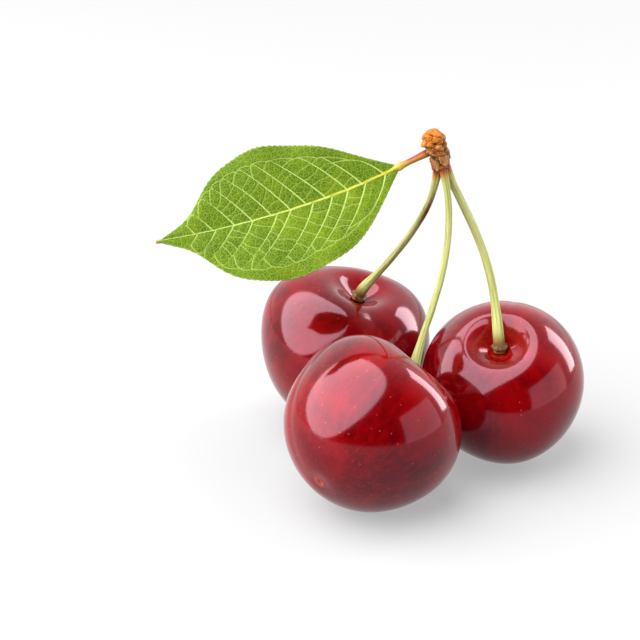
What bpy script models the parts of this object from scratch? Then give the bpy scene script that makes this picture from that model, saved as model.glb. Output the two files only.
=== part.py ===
"""Three sweet cherries on their stalks, joined by the woody spur they grew from, with one leaf.

The bunch rests unheld on its three fruits, which stand close together like a low tripod.
Metres, +Z up.  The origin is under the middle of the bunch, on the surface it rests on.
"""
import math

import bpy
import numpy as np
from mathutils import Matrix, Vector

MM = 0.001
UP = Vector((0.0, 0.0, 1.0))

# ---- clearances ----
PIECE_GAP = 0.3 * MM            # air between pieces that touch in the real bunch
BACK_GAP = 1.1 * MM             # between the left and right fruits, which stand apart
CONTACT_DEPTH = 0.18 * MM       # how far each fruit is flattened where it rests

# ---- fruits ----
# lean: angle of the stem axis from upright.  heading: compass angle that the axis leans towards.
FRUITS = {
    "front": {"width": 28.4 * MM, "height": 27.4 * MM, "lean": 59.0, "heading": 47.0},
    "left": {"width": 28.0 * MM, "height": 27.2 * MM, "lean": 14.0, "heading": -14.0},
    "right": {"width": 27.0 * MM, "height": 25.6 * MM, "lean": 26.0, "heading": -104.0},
}
LEFT_BEARING = 98.4             # compass angle from the front fruit to the left one
SHOULDER = 0.08                 # how much fuller the stem half is than the tip half
CAVITY_DEPTH = 3.9 * MM         # hollow that the stalk grows from
CAVITY_RADIUS = 4.4 * MM
TIP_DIMPLE_DEPTH = 0.45 * MM    # shallow dent at the blossom end
TIP_DIMPLE_RADIUS = 2.2 * MM
FRUIT_STEPS = 36
PROFILE_STEPS = 22
POLE_CROWDING = 0.45            # closes up the profile's points towards the two ends

# ---- stalks ----
STALK_RADIUS = 0.56 * MM        # along the slender middle
STALK_TOP_RADIUS = 0.62 * MM    # where it leaves the spur
STALK_FOOT_RADIUS = 0.92 * MM   # just above the collar
COLLAR_RADIUS = 1.35 * MM       # flared collar seated in the fruit
COLLAR_LENGTH = 0.8 * MM
FOOT_FLARE = 9.0 * MM           # length over which the stalk thickens towards its foot
TOP_FLARE = 5.0 * MM
SEAT_BEND = 2.0 * MM            # how soon the stalk turns out of the fruit's axis
STALK_POINTS = 28
FOOT_CROWDING = 1.5             # closes up the stalk's points towards its foot
# azimuth: place in the ring under the spur.  spread: how far the top leans out of the spur's axis.
# lean, heading: the way the stalk leaves the fruit.  The two reaches set how it bows.
STALKS = {
    "left": {"azimuth": 170.0, "spread": 19.0, "top_reach": 8.5 * MM,
             "lean": 36.0, "heading": -40.0, "foot_reach": 10.5 * MM},
    "front": {"azimuth": 290.0, "spread": 4.0, "top_reach": 15.0 * MM,
              "lean": 32.0, "heading": 74.0, "foot_reach": 6.6 * MM},
    "right": {"azimuth": 30.0, "spread": 13.0, "top_reach": 13.5 * MM,
              "lean": 19.0, "heading": 102.0, "foot_reach": 15.5 * MM},
}

# ---- spur ----
SPUR_SEAT = Vector((11.3, 18.9, 50.0)) * MM     # middle of its lower end, from under the front fruit
SPUR_LEAN = 12.0
SPUR_HEADING = 170.0
SPUR_LENGTH = 7.6 * MM
SPUR_SEAT_RADIUS = 1.45 * MM
SPUR_WAIST_RADIUS = 1.3 * MM
SPUR_KNOB_RADIUS = 1.75 * MM
SPUR_STEPS = 20

# ---- bud scales, in two rings around the spur ----
SCALE_THICKNESS = 0.3 * MM
LOWEST_SCALE_ROOT = 1.4 * MM    # attached edge of the lower ring, above the seat
# reach: length down to the tip.  flare: how far the tip stands out past the root.
SCALE_RINGS = (
    {"azimuths": (100.0, 230.0, 340.0), "half_angle": 33.0, "reach": 2.6 * MM, "flare": 0.4 * MM},
    {"azimuths": (-75.0, 20.0, 105.0), "half_angle": 38.0, "reach": 2.0 * MM, "flare": 0.6 * MM},
)
SCALE_ROWS = 6
SCALE_COLUMNS = 6

# ---- leaf ----
PETIOLE_ROOT_HEIGHT = 3.2 * MM  # above the spur's seat
PETIOLE_AZIMUTH = 185.0
PETIOLE_LENGTH = 5.2 * MM
PETIOLE_RADIUS = 0.55 * MM
BLADE_LENGTH = 40.8 * MM
BLADE_HALF_WIDTH = 11.7 * MM
BLADE_THICKNESS = 0.32 * MM
BLADE_FULLNESS = 0.28           # how much broader the tip half is than the base half
BLADE_TIP_TAPER = 0.95          # how strongly the tip is drawn out
MIDRIB_RADIUS = 0.5 * MM
LEAF_HEADING = 180.0            # compass angle that the leaf points towards
LEAF_FACING = 48.0              # elevation of the way its upper side looks
DROOP_AT_ROOT = 28.0            # slope of the midrib across the blade's own plane
DROOP_AT_TIP = 9.0
LEAF_SAG = 1.2 * MM             # fall of the tip out of the blade's plane
LEAF_FOLD = 7.0                 # each half rises from the midrib by this angle
LEAF_STATIONS = 34


def make_material(name, color, roughness):
    material = bpy.data.materials.new(name)
    material.use_nodes = True
    shader = material.node_tree.nodes["Principled BSDF"]
    shader.inputs["Base Color"].default_value = (*color, 1.0)
    shader.inputs["Roughness"].default_value = roughness
    shader.inputs["Metallic"].default_value = 0.0
    material.diffuse_color = (*color, 1.0)
    return material


def add_object(name, data, material, collection, parent):
    data.materials.append(material)
    piece = bpy.data.objects.new(name, data)
    collection.objects.link(piece)
    piece.parent = parent
    return piece


def leaning(lean, heading):
    """Rotation that tips upright over by lean degrees towards the compass angle heading."""
    turn = math.radians(heading)
    hinge = Vector((-math.sin(turn), math.cos(turn), 0.0))
    return Matrix.Rotation(math.radians(lean), 3, hinge)


def compass(angle):
    turn = math.radians(angle)
    return Vector((math.cos(turn), math.sin(turn), 0.0))


def eased(low, high, amount):
    """Value between low and high that leaves and arrives level."""
    amount = min(max(amount, 0.0), 1.0)
    return low + (high - low) * (0.5 - 0.5 * math.cos(math.pi * amount))


# ---- fruits ----

def fruit_surface(width, height, angle):
    """Radius and height on a fruit's profile, angle running from the stem end to the blossom end."""
    radius = 0.5 * width * math.sin(angle) * (1.0 + SHOULDER * math.cos(angle))
    level = 0.5 * height * math.cos(angle)
    if level > 0.0:
        level -= CAVITY_DEPTH * math.exp(-(radius / CAVITY_RADIUS) ** 2)
    else:
        level += TIP_DIMPLE_DEPTH * math.exp(-(radius / TIP_DIMPLE_RADIUS) ** 2)
    return radius, level


def fruit_profile(width, height):
    profile = []
    for step in range(PROFILE_STEPS + 1):
        share = step / PROFILE_STEPS
        angle = math.pi * share - 0.5 * POLE_CROWDING * math.sin(2.0 * math.pi * share)
        profile.append(fruit_surface(width, height, angle))
    profile[0] = (0.0, profile[0][1])
    profile[-1] = (0.0, profile[-1][1])
    return profile


def reach(fruit, direction):
    """How far a fruit extends from its centre in a direction."""
    cosine = fruit["axis"].dot(direction)
    sine = math.sqrt(max(0.0, 1.0 - cosine * cosine))
    return max(radius * sine + level * cosine for radius, level in fruit["profile"])


def lay_out_fruits():
    """Rest each fruit on the ground, the left and right ones close behind the front one."""
    fruits = {}
    for name, size in FRUITS.items():
        turn = leaning(size["lean"], size["heading"])
        fruit = {"turn": turn, "axis": turn @ UP, "widest": 0.5 * size["width"],
                 "profile": fruit_profile(size["width"], size["height"])}
        fruit["size"] = size
        fruit["rise"] = reach(fruit, -UP) - CONTACT_DEPTH
        fruits[name] = fruit
    front, left, right = fruits["front"], fruits["left"], fruits["right"]

    def spacing(other, bearing):
        toward = compass(bearing)
        return reach(front, toward) + reach(other, -toward) + PIECE_GAP

    to_left = spacing(left, LEFT_BEARING)
    between = left["widest"] + right["widest"] + BACK_GAP
    bearing = LEFT_BEARING - 60.0
    for _ in range(12):         # the right fruit's bearing closes the triangle of centres
        to_right = spacing(right, bearing)
        cosine = (to_left ** 2 + to_right ** 2 - between ** 2) / (2.0 * to_left * to_right)
        bearing = LEFT_BEARING - math.degrees(math.acos(max(-1.0, min(1.0, cosine))))
    front["centre"] = UP * front["rise"]
    left["centre"] = compass(LEFT_BEARING) * to_left + UP * left["rise"]
    right["centre"] = compass(bearing) * to_right + UP * right["rise"]
    return fruits


def add_fruit(name, fruit, table, material, collection, parent):
    """Profile turned about the stem axis, tipped over and flattened a little where it rests."""
    mesh = bpy.data.meshes.new(name)
    points = [(radius, 0.0, level) for radius, level in fruit["profile"]]
    mesh.from_pydata(points, [(i, i + 1) for i in range(len(points) - 1)], [])
    piece = add_object(name, mesh, material, collection, parent)
    piece.location = fruit["centre"]
    piece.rotation_euler = fruit["turn"].to_euler()
    screw = piece.modifiers.new("turned", "SCREW")
    screw.steps = FRUIT_STEPS
    screw.render_steps = FRUIT_STEPS
    screw.use_merge_vertices = True
    screw.merge_threshold = 0.01 * MM
    screw.use_smooth_shade = True
    rest = piece.modifiers.new("rest", "BOOLEAN")
    rest.operation = "DIFFERENCE"
    rest.object = table


def add_table(collection, parent):
    """Cutter whose top is the surface that the bunch rests on."""
    side = 1.0
    bpy.ops.mesh.primitive_cube_add(size=side, location=(0.0, 0.0, -0.5 * side))
    table = bpy.context.object
    table.name = "table_cutter"
    for owner in list(table.users_collection):
        owner.objects.unlink(table)
    collection.objects.link(table)
    table.parent = parent
    table.hide_render = True
    table.display_type = "WIRE"
    return table


# ---- stalks ----

def spur_turn():
    return leaning(SPUR_LEAN, SPUR_HEADING)


def on_spur(azimuth, radius, level):
    """Point around the spur, level measured up its axis from the seat."""
    return SPUR_SEAT + spur_turn() @ (compass(azimuth) * radius + UP * level)


def ring_radius():
    """Radius of the ring that holds the three stalk tops side by side."""
    return (2.0 * STALK_TOP_RADIUS + PIECE_GAP) / math.sqrt(3.0) + 0.1 * MM


def stalk_route(fruit, shape):
    """Points from the collar to the spur: a cubic curve, bent into the fruit's axis at the collar."""
    size = fruit["size"]
    seat_angle = math.asin(min(1.0, 2.0 * COLLAR_RADIUS / size["width"]))
    seat_level = fruit_surface(size["width"], size["height"], seat_angle)[1] + PIECE_GAP
    foot = fruit["centre"] + fruit["axis"] * seat_level
    leave = leaning(shape["lean"], shape["heading"]) @ UP
    spread = math.radians(shape["spread"])
    top_gap = PIECE_GAP + STALK_TOP_RADIUS * math.sin(spread)
    top = on_spur(shape["azimuth"], ring_radius(), -top_gap)
    arrive = spur_turn() @ (compass(shape["azimuth"]) * math.sin(spread) - UP * math.cos(spread))
    handles = (foot, foot + leave * shape["foot_reach"], top + arrive * shape["top_reach"], top)
    route = []
    for step in range(STALK_POINTS):
        share = (step / (STALK_POINTS - 1)) ** FOOT_CROWDING
        weights = ((1 - share) ** 3, 3 * share * (1 - share) ** 2, 3 * share ** 2 * (1 - share), share ** 3)
        point = sum((handle * weight for handle, weight in zip(handles, weights)), Vector())
        travelled = (point - foot).length
        route.append(point + (fruit["axis"] - leave) * travelled * math.exp(-travelled / SEAT_BEND))
    return route


def stalk_radius(from_foot, from_top):
    """Slender in the middle, thicker at both ends, with the collar flared at the foot."""
    radius = eased(STALK_FOOT_RADIUS, STALK_RADIUS, from_foot / FOOT_FLARE)
    radius += eased(STALK_TOP_RADIUS - STALK_RADIUS, 0.0, from_top / TOP_FLARE)
    radius += eased(COLLAR_RADIUS - STALK_FOOT_RADIUS, 0.0, from_foot / COLLAR_LENGTH)
    return radius


def add_stalk(name, fruit, shape, material, collection, parent):
    route = stalk_route(fruit, shape)
    travelled = [0.0]
    for before, after in zip(route, route[1:]):
        travelled.append(travelled[-1] + (after - before).length)
    curve = bpy.data.curves.new(name, "CURVE")
    curve.dimensions = "3D"
    curve.bevel_depth = 1.0
    curve.bevel_resolution = 3
    curve.use_fill_caps = True
    spline = curve.splines.new("POLY")
    spline.points.add(len(route) - 1)
    for point, place, distance in zip(spline.points, route, travelled):
        point.co = (*place, 1.0)
        point.radius = stalk_radius(distance, travelled[-1] - distance)
    add_object(name, curve, material, collection, parent)


# ---- spur and its bud scales ----

def spur_radius(level):
    """Radius of the spur's core: a flat seat, a narrower waist and a rounded knob."""
    stations = ((0.0, SPUR_SEAT_RADIUS), (0.4, SPUR_WAIST_RADIUS), (0.72, SPUR_KNOB_RADIUS))
    share = level / SPUR_LENGTH
    for (low, low_radius), (high, high_radius) in zip(stations, stations[1:]):
        if share <= high:
            return eased(low_radius, high_radius, (share - low) / (high - low))
    dome = (share - stations[-1][0]) / (1.0 - stations[-1][0])
    return SPUR_KNOB_RADIUS * math.sqrt(max(0.0, 1.0 - dome ** 2))


def add_spur(material, collection, parent):
    levels = [SPUR_LENGTH * math.sin(0.5 * math.pi * step / 12) for step in range(12, -1, -1)]
    points = [(spur_radius(level), 0.0, level) for level in levels]
    points[0] = (0.0, 0.0, SPUR_LENGTH)
    points.append((0.0, 0.0, 0.0))
    mesh = bpy.data.meshes.new("spur")
    mesh.from_pydata(points, [(i, i + 1) for i in range(len(points) - 1)], [])
    spur = add_object("spur", mesh, material, collection, parent)
    spur.location = SPUR_SEAT
    spur.rotation_euler = spur_turn().to_euler()
    screw = spur.modifiers.new("turned", "SCREW")
    screw.steps = SPUR_STEPS
    screw.render_steps = SPUR_STEPS
    screw.use_merge_vertices = True
    screw.merge_threshold = 0.01 * MM
    screw.use_smooth_shade = True


def add_scale(name, azimuth, ring, root, inner, material, collection, parent):
    """Curved pointed scale: attached along its upper edge, its tip down and a little outwards."""
    points = []
    for row in range(SCALE_ROWS + 1):
        down = row / SCALE_ROWS
        half_angle = ring["half_angle"] * math.sqrt(1.0 - 0.93 * down ** 2)
        radius = inner + ring["flare"] * down ** 2
        for column in range(SCALE_COLUMNS + 1):
            across = 2.0 * column / SCALE_COLUMNS - 1.0
            points.append(on_spur(azimuth + across * half_angle, radius, root - ring["reach"] * down))
    stride = SCALE_COLUMNS + 1
    faces = []
    for row in range(SCALE_ROWS):
        for column in range(SCALE_COLUMNS):
            corner = row * stride + column
            faces.append((corner, corner + stride, corner + stride + 1, corner + 1))
    mesh = bpy.data.meshes.new(name)
    mesh.from_pydata(points, [], faces)
    scale = add_object(name, mesh, material, collection, parent)
    wall = scale.modifiers.new("wall", "SOLIDIFY")
    wall.thickness = SCALE_THICKNESS
    wall.offset = 1.0


def add_scales(material, collection, parent):
    """The lower ring closes round the stalk tops, the upper one round the spur's waist."""
    number = 1
    root = LOWEST_SCALE_ROOT
    around_stalks = ring_radius() + STALK_TOP_RADIUS
    for place, ring in enumerate(SCALE_RINGS):
        if place > 0:
            root += ring["reach"] + PIECE_GAP
        levels = [root - ring["reach"] * share / 8 for share in range(9)]
        core = max(spur_radius(level) for level in levels if level >= 0.0)
        inner = max(core, around_stalks) + PIECE_GAP
        for azimuth in ring["azimuths"]:
            add_scale(f"bud_scale_{number}", azimuth, ring, root, inner, material, collection, parent)
            number += 1


# ---- leaf ----

def blade_half_width(share):
    """Half width along the blade: rounded at the base, broadest halfway, drawn out at the tip."""
    swell = math.sin(math.pi * min(max(share, 0.0), 1.0)) * (1.0 + BLADE_FULLNESS * (share - 0.5))
    return BLADE_HALF_WIDTH * swell * (1.0 - BLADE_TIP_TAPER * share ** 12)


def leaf_section(distance):
    """Closed outline across the leaf: round on the petiole, thin with a rib below on the blade."""
    share = (distance - PETIOLE_LENGTH) / BLADE_LENGTH
    rib = eased(MIDRIB_RADIUS, 0.4 * MIDRIB_RADIUS, share)
    half = max(blade_half_width(share), rib)
    thin = 0.5 * BLADE_THICKNESS
    rib_edge = min(1.3 * rib, 0.3 * half)
    above = [(half * part, thin) for part in (0.7, 0.35, 0.0, -0.35, -0.7)]
    beside = [(-0.7 * half, -thin), (-0.35 * half, -thin), (-rib_edge, -thin)]
    below = beside + [(0.0, -thin - rib)] + [(-x, z) for x, z in reversed(beside)]
    blade = [(half, 0.0), *above, (-half, 0.0), *below]
    fold = math.tan(math.radians(LEAF_FOLD))
    blade = [(x, z + abs(x) * fold) for x, z in blade]
    angles = [180.0 * i / 6 for i in range(7)] + [180.0 + 180.0 * i / 8 for i in range(1, 8)]
    stem = [(PETIOLE_RADIUS * math.cos(math.radians(angle)), PETIOLE_RADIUS * math.sin(math.radians(angle)))
            for angle in angles]
    mix = eased(0.0, 1.0, share / 0.06)
    return [((1 - mix) * a + mix * c, (1 - mix) * b + mix * d) for (a, b), (c, d) in zip(stem, blade)]


def add_leaf(material, collection, parent):
    """Sections carried along the midrib, from the petiole's root to the leaf's tip."""
    along = compass(LEAF_HEADING)
    forward = Vector((-along.y, along.x, 0.0))
    facing = math.radians(LEAF_FACING)
    normal = forward * math.cos(facing) + UP * math.sin(facing)
    slope_up = UP * math.cos(facing) - forward * math.sin(facing)
    droop = math.radians(DROOP_AT_ROOT)
    leave = along * math.cos(droop) - slope_up * math.sin(droop)
    slant = leave.angle(spur_turn() @ compass(PETIOLE_AZIMUTH))
    root_gap = PIECE_GAP + PETIOLE_RADIUS * math.sin(slant)
    centre = on_spur(PETIOLE_AZIMUTH, spur_radius(PETIOLE_ROOT_HEIGHT) + root_gap, PETIOLE_ROOT_HEIGHT)
    length = PETIOLE_LENGTH + BLADE_LENGTH
    points = []
    before = 0.0
    for station in range(LEAF_STATIONS + 1):
        share = station / LEAF_STATIONS
        distance = length * share
        droop = math.radians(DROOP_AT_ROOT + (DROOP_AT_TIP - DROOP_AT_ROOT) * share)
        tangent = along * math.cos(droop) - slope_up * math.sin(droop)
        across = slope_up * math.cos(droop) + along * math.sin(droop)
        centre = centre + tangent * (distance - before)
        before = distance
        sagged = centre - normal * LEAF_SAG * share ** 2
        points.extend(sagged + across * x + normal * z for x, z in leaf_section(distance))
    ring = len(leaf_section(0.0))
    faces = [tuple(range(ring))]
    for station in range(LEAF_STATIONS):
        for corner in range(ring):
            here = station * ring + corner
            beside = station * ring + (corner + 1) % ring
            faces.append((here, here + ring, beside + ring, beside))
    faces.append(tuple(reversed(range(LEAF_STATIONS * ring, (LEAF_STATIONS + 1) * ring))))
    mesh = bpy.data.meshes.new("leaf")
    mesh.from_pydata(points, [], faces)
    add_object("leaf", mesh, material, collection, parent)


# ---- the bunch ----

def centre_on_origin(bunch, pieces):
    """Move the bunch so that the middle of its box stands over the origin."""
    bpy.context.view_layer.update()
    depsgraph = bpy.context.evaluated_depsgraph_get()
    corners = []
    for piece in pieces:
        shown = piece.evaluated_get(depsgraph)
        mesh = shown.to_mesh()
        places = np.empty(3 * len(mesh.vertices), dtype=np.float32)
        mesh.vertices.foreach_get("co", places)
        world = np.array(shown.matrix_world)
        places = places.reshape(-1, 3) @ world[:3, :3].T + world[:3, 3]
        corners += [places.min(axis=0), places.max(axis=0)]
        shown.to_mesh_clear()
    middle = 0.5 * (np.min(corners, axis=0) + np.max(corners, axis=0))
    bunch.location = (-middle[0], -middle[1], 0.0)
    bpy.context.view_layer.update()


def main():
    for item in list(bpy.data.objects):
        bpy.data.objects.remove(item, do_unlink=True)
    parts = bpy.data.collections.new("cherries_on_stalks")
    cutters = bpy.data.collections.new("cutters")
    bpy.context.scene.collection.children.link(parts)
    bpy.context.scene.collection.children.link(cutters)
    bunch = bpy.data.objects.new("bunch", None)
    parts.objects.link(bunch)

    skin = make_material("cherry_skin", (0.26, 0.008, 0.018), 0.12)
    green = make_material("stalk_green", (0.46, 0.52, 0.14), 0.45)
    bark = make_material("spur_bark", (0.60, 0.25, 0.07), 0.6)
    papery = make_material("bud_scale_brown", (0.52, 0.28, 0.14), 0.7)
    blade = make_material("leaf_green", (0.16, 0.30, 0.03), 0.45)

    table = add_table(cutters, bunch)
    for name, fruit in lay_out_fruits().items():
        add_fruit(f"cherry_{name}", fruit, table, skin, parts, bunch)
        add_stalk(f"stalk_{name}", fruit, STALKS[name], green, parts, bunch)
    add_spur(bark, parts, bunch)
    add_scales(papery, parts, bunch)
    add_leaf(blade, parts, bunch)
    centre_on_origin(bunch, [item for item in parts.objects if item.type != "EMPTY"])


main()
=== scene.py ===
# Three sweet cherries on their stalks, with the spur that they grew from and one leaf.
# Sizes are in millimetres until a mesh is made; the row frame is in metres.
import math

import bpy
import numpy as np
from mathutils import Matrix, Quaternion, Vector


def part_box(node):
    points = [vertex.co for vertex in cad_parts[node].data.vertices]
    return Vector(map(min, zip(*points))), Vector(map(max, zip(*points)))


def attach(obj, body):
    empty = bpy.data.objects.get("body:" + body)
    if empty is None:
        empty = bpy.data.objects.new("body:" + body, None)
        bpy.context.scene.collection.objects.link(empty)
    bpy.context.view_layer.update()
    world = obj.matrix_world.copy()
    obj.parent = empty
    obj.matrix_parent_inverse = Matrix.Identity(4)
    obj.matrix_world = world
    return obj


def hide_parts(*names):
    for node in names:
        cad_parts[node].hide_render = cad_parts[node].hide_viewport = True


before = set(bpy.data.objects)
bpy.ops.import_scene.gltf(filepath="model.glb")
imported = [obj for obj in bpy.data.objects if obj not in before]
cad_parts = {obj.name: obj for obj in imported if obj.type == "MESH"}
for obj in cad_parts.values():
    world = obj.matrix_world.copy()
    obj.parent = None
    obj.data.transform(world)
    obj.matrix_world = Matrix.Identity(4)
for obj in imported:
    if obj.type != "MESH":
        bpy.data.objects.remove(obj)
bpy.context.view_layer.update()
scene = bpy.context.scene
mm = 0.001
up = np.array([0.0, 0.0, 1.0])
print("frame loaded,", len(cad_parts), "CAD nodes")


def addObject(name, data):
    made = bpy.data.objects.new(name, data)
    scene.collection.objects.link(made)
    return made


# ways to turn, ease and ripple, shared by every piece

def compass(angle):
    turn = np.radians(angle)
    return np.array([np.cos(turn), np.sin(turn), 0.0])


def leaning(lean, heading):
    # turn that tips upright over by lean towards heading: identity + sin K + (1 - cos) K squared
    tip = np.radians(lean)
    hinge = compass(heading + 90.0)
    k = np.array([[0, -hinge[2], hinge[1]], [hinge[2], 0, -hinge[0]], [-hinge[1], hinge[0], 0]])
    return np.eye(3) + np.sin(tip) * k + (1 - np.cos(tip)) * k @ k


def eased(low, high, share):
    # half a cosine wave from low to high, level at both ends
    return low + (high - low) * (0.5 - 0.5 * np.cos(np.pi * np.clip(share, 0.0, 1.0)))


def bell(distance, width):
    return np.exp(-(distance / width) ** 2)


def wrapped(turn):
    # the same turn, between minus and plus half a circle
    return (turn + np.pi) % (2 * np.pi) - np.pi


def ripples(points, length, waves, seed):
    # sum of sine waves of about the given length, running in random directions, from -1 to 1
    rng = np.random.default_rng(seed)
    ways = rng.normal(size=(waves, 3))
    ways /= np.linalg.norm(ways, axis=1, keepdims=True)
    lengths = length * rng.uniform(0.7, 1.5, waves)
    phases = rng.uniform(0.0, 2 * np.pi, waves)
    swing = np.sin(points @ (ways.T * (2 * np.pi / lengths)) + phases)
    return swing.sum(axis=-1) / math.sqrt(waves) / 1.4


def turns(count):
    return np.linspace(0, 2 * np.pi, count, endpoint=False)[None, :]


def ringPoints(radius, around, level):
    # radius times cosine and sine of the turn, then the level
    return np.stack(np.broadcast_arrays(radius * np.cos(around), radius * np.sin(around), level), -1)


def ringMesh(name, grid, marks, poles=None, body="root"):
    # rows of closed rings joined by quads, each end closed by a fan to its pole, which is the end
    # ring's middle if none is given; faces turned outwards; mapped once round and once along
    rows, cols = grid.shape[:2]
    points = np.vstack([grid.reshape(-1, 3), *(poles or (grid[0].mean(axis=0), grid[-1].mean(axis=0)))])
    uv = np.stack(np.meshgrid(np.linspace(0, 1, cols + 1), np.linspace(0, 1, rows)), -1)
    r, c = (i.ravel() for i in np.meshgrid(np.arange(rows - 1), np.arange(cols), indexing="ij"))
    beside = (c + 1) % cols
    quads = np.stack([r * cols + c, r * cols + beside, (r + 1) * cols + beside, (r + 1) * cols + c], 1)
    quadUv = np.stack([uv[r, c], uv[r, c + 1], uv[r + 1, c + 1], uv[r + 1, c]], 1)
    k = np.arange(cols)
    k1 = (k + 1) % cols
    last = (rows - 1) * cols
    fans = np.vstack([np.stack([k1, k, np.full(cols, rows * cols)], 1),
                      np.stack([last + k, last + k1, np.full(cols, rows * cols + 1)], 1)])
    fanUv = np.concatenate([
        np.stack([uv[0, k + 1], uv[0, k], 0.5 * (uv[0, k] + uv[0, k + 1])], 1),
        np.stack([uv[-1, k], uv[-1, k + 1], 0.5 * (uv[-1, k] + uv[-1, k + 1])], 1)])
    corners = points[quads]
    spread = np.cross(corners[:, 2] - corners[:, 0], corners[:, 3] - corners[:, 1])
    if np.einsum("ij,ij->", spread, corners.mean(axis=1) - points.mean(axis=0)) < 0:
        quads, quadUv, fans, fanUv = quads[:, ::-1], quadUv[:, ::-1], fans[:, ::-1], fanUv[:, ::-1]
    mesh = bpy.data.meshes.new(name)
    mesh.from_pydata((points * mm).tolist(), [], quads.tolist() + fans.tolist())
    mesh.polygons.foreach_set("use_smooth", np.ones(len(mesh.polygons), bool))
    layer = mesh.uv_layers.new(name="surface")
    layer.data.foreach_set("uv", np.concatenate([quadUv.ravel(), fanUv.ravel()]).astype(np.float32))
    for label, values in marks.items():
        wide = values.ndim == 3
        values = np.broadcast_to(values, grid.shape[:2] + values.shape[2:])
        ends = [values[0].mean(axis=0), values[-1].mean(axis=0)]
        flat = np.concatenate([values.reshape(-1, 3) if wide else values.ravel(), ends])
        kept = mesh.attributes.new(label, "FLOAT_VECTOR" if wide else "FLOAT", "POINT")
        kept.data.foreach_set("vector" if wide else "value", flat.astype(np.float32).ravel())
    mesh.update()
    piece = addObject(name, mesh)
    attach(piece, body)
    return piece


def finishPiece(piece, material, slot, *nodes):
    piece.data.materials.append(material)
    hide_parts(*nodes)
    print("made", piece.name, len(piece.data.polygons), "faces")


def tube(route, radius, cols, start):
    # rings of the given radius (rows by columns) about a route, carried along it without twisting
    ahead = np.gradient(route, axis=0)
    ahead /= np.linalg.norm(ahead, axis=1, keepdims=True)
    side = start - ahead * (ahead @ start)[:, None]
    side /= np.linalg.norm(side, axis=1, keepdims=True)
    beside = np.cross(ahead, side)
    around = turns(cols)[..., None]
    ring = side[:, None] * np.cos(around) + beside[:, None] * np.sin(around)
    return route[:, None] + ring * radius[..., None]


# helpers for material nodes

def addNode(tree, kind, settings=None, **inputs):
    made = tree.nodes.new("ShaderNode" + kind)
    for key, value in (settings or {}).items():
        setattr(made, key, value)
    for key, value in inputs.items():
        feed(tree, made.inputs[key.replace("_", " ")], value)
    return made


def feed(tree, socket, value):
    if isinstance(value, bpy.types.NodeSocket):
        tree.links.new(value, socket)
    else:
        socket.default_value = value


def calc(tree, operation, a, b=0.0, clamp=False):
    made = addNode(tree, "Math", {"operation": operation, "use_clamp": clamp})
    feed(tree, made.inputs[0], a)
    feed(tree, made.inputs[1], b)
    return made.outputs[0]


def mult(tree, a, b):
    return calc(tree, "MULTIPLY", a, b)


def plus(tree, a, b):
    return calc(tree, "ADD", a, b)


def between(tree, value, low, high, toLow=0.0, toHigh=1.0):
    made = addNode(tree, "MapRange", {"interpolation_type": "SMOOTHSTEP"}, Value=value, From_Min=low,
                   From_Max=high, To_Min=toLow, To_Max=toHigh)
    return made.outputs[0]


def blendColour(tree, share, a, b):
    made = addNode(tree, "Mix", {"data_type": "RGBA"})
    feed(tree, made.inputs[0], share)
    feed(tree, made.inputs[6], a)
    feed(tree, made.inputs[7], b)
    return made.outputs[2]


def ramp(tree, value, stops):
    made = addNode(tree, "ValToRGB", Fac=value)
    while len(made.color_ramp.elements) < len(stops):
        made.color_ramp.elements.new(0.5)
    for element, (place, colour) in zip(made.color_ramp.elements, stops):
        element.position = place
        element.color = rgb(*colour)
    return made.outputs[0]


def rgb(red, green, blue):
    return red, green, blue, 1.0


def mark(tree, name, output="Fac"):
    made = addNode(tree, "Attribute", {"attribute_type": "GEOMETRY", "attribute_name": name})
    return made.outputs[output]


def stretched(tree, vector, scale):
    return addNode(tree, "Mapping", Vector=vector, Scale=scale).outputs[0]


def noise(tree, vector, scale, detail=2.0, roughness=0.5, distortion=0.0):
    return addNode(tree, "TexNoise", Vector=vector, Scale=scale, Detail=detail, Roughness=roughness,
                   Distortion=distortion).outputs[0]


def newGroup(name, ins, outs):
    group = bpy.data.node_groups.new(name, "ShaderNodeTree")
    for label, kind, value in ins:
        socket = group.interface.new_socket(name=label, in_out="INPUT", socket_type="NodeSocket" + kind)
        if value is not None:
            socket.default_value = value
    for label, kind in outs:
        group.interface.new_socket(name=label, in_out="OUTPUT", socket_type="NodeSocket" + kind)
    return group, group.nodes.new("NodeGroupInput").outputs, group.nodes.new("NodeGroupOutput").inputs


def makeDots():
    # scattered dots: a cell's centre shows where the cell's own number is under the share kept
    group, given, made = newGroup("dots", [("Vector", "Vector", None), ("Scale", "Float", 1.0),
                                           ("Size", "Float", 0.1), ("Kept", "Float", 0.5)],
                                  [("Mask", "Float")])
    cells = addNode(group, "TexVoronoi", {"feature": "F1"}, Vector=given["Vector"], Scale=given["Scale"])
    dot = between(group, calc(group, "DIVIDE", cells.outputs["Distance"], given["Size"]), 1.0, 0.45)
    number = addNode(group, "SeparateColor", Color=cells.outputs["Color"]).outputs[0]
    kept = calc(group, "LESS_THAN", number, given["Kept"])
    group.links.new(mult(group, dot, kept), made["Mask"])
    return group


def makeMottle():
    # two scales of soft noise laid over each other, spread out to fill 0 to 1
    group, given, made = newGroup("mottle", [("Vector", "Vector", None), ("Scale", "Float", 1.0),
                                             ("Fine Share", "Float", 0.3)], [("Value", "Float")])
    coarse = noise(group, given["Vector"], given["Scale"], 3.0, 0.55, 0.4)
    fine = noise(group, given["Vector"], mult(group, given["Scale"], 4.7), 2.0, 0.6)
    mixed = addNode(group, "Mix", {"data_type": "FLOAT"}, Factor=given["Fine Share"])
    group.links.new(coarse, mixed.inputs[2])
    group.links.new(fine, mixed.inputs[3])
    group.links.new(between(group, mixed.outputs[0], 0.3, 0.7), made["Value"])
    return group


dotsGroup = makeDots()
mottleGroup = makeMottle()


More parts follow.
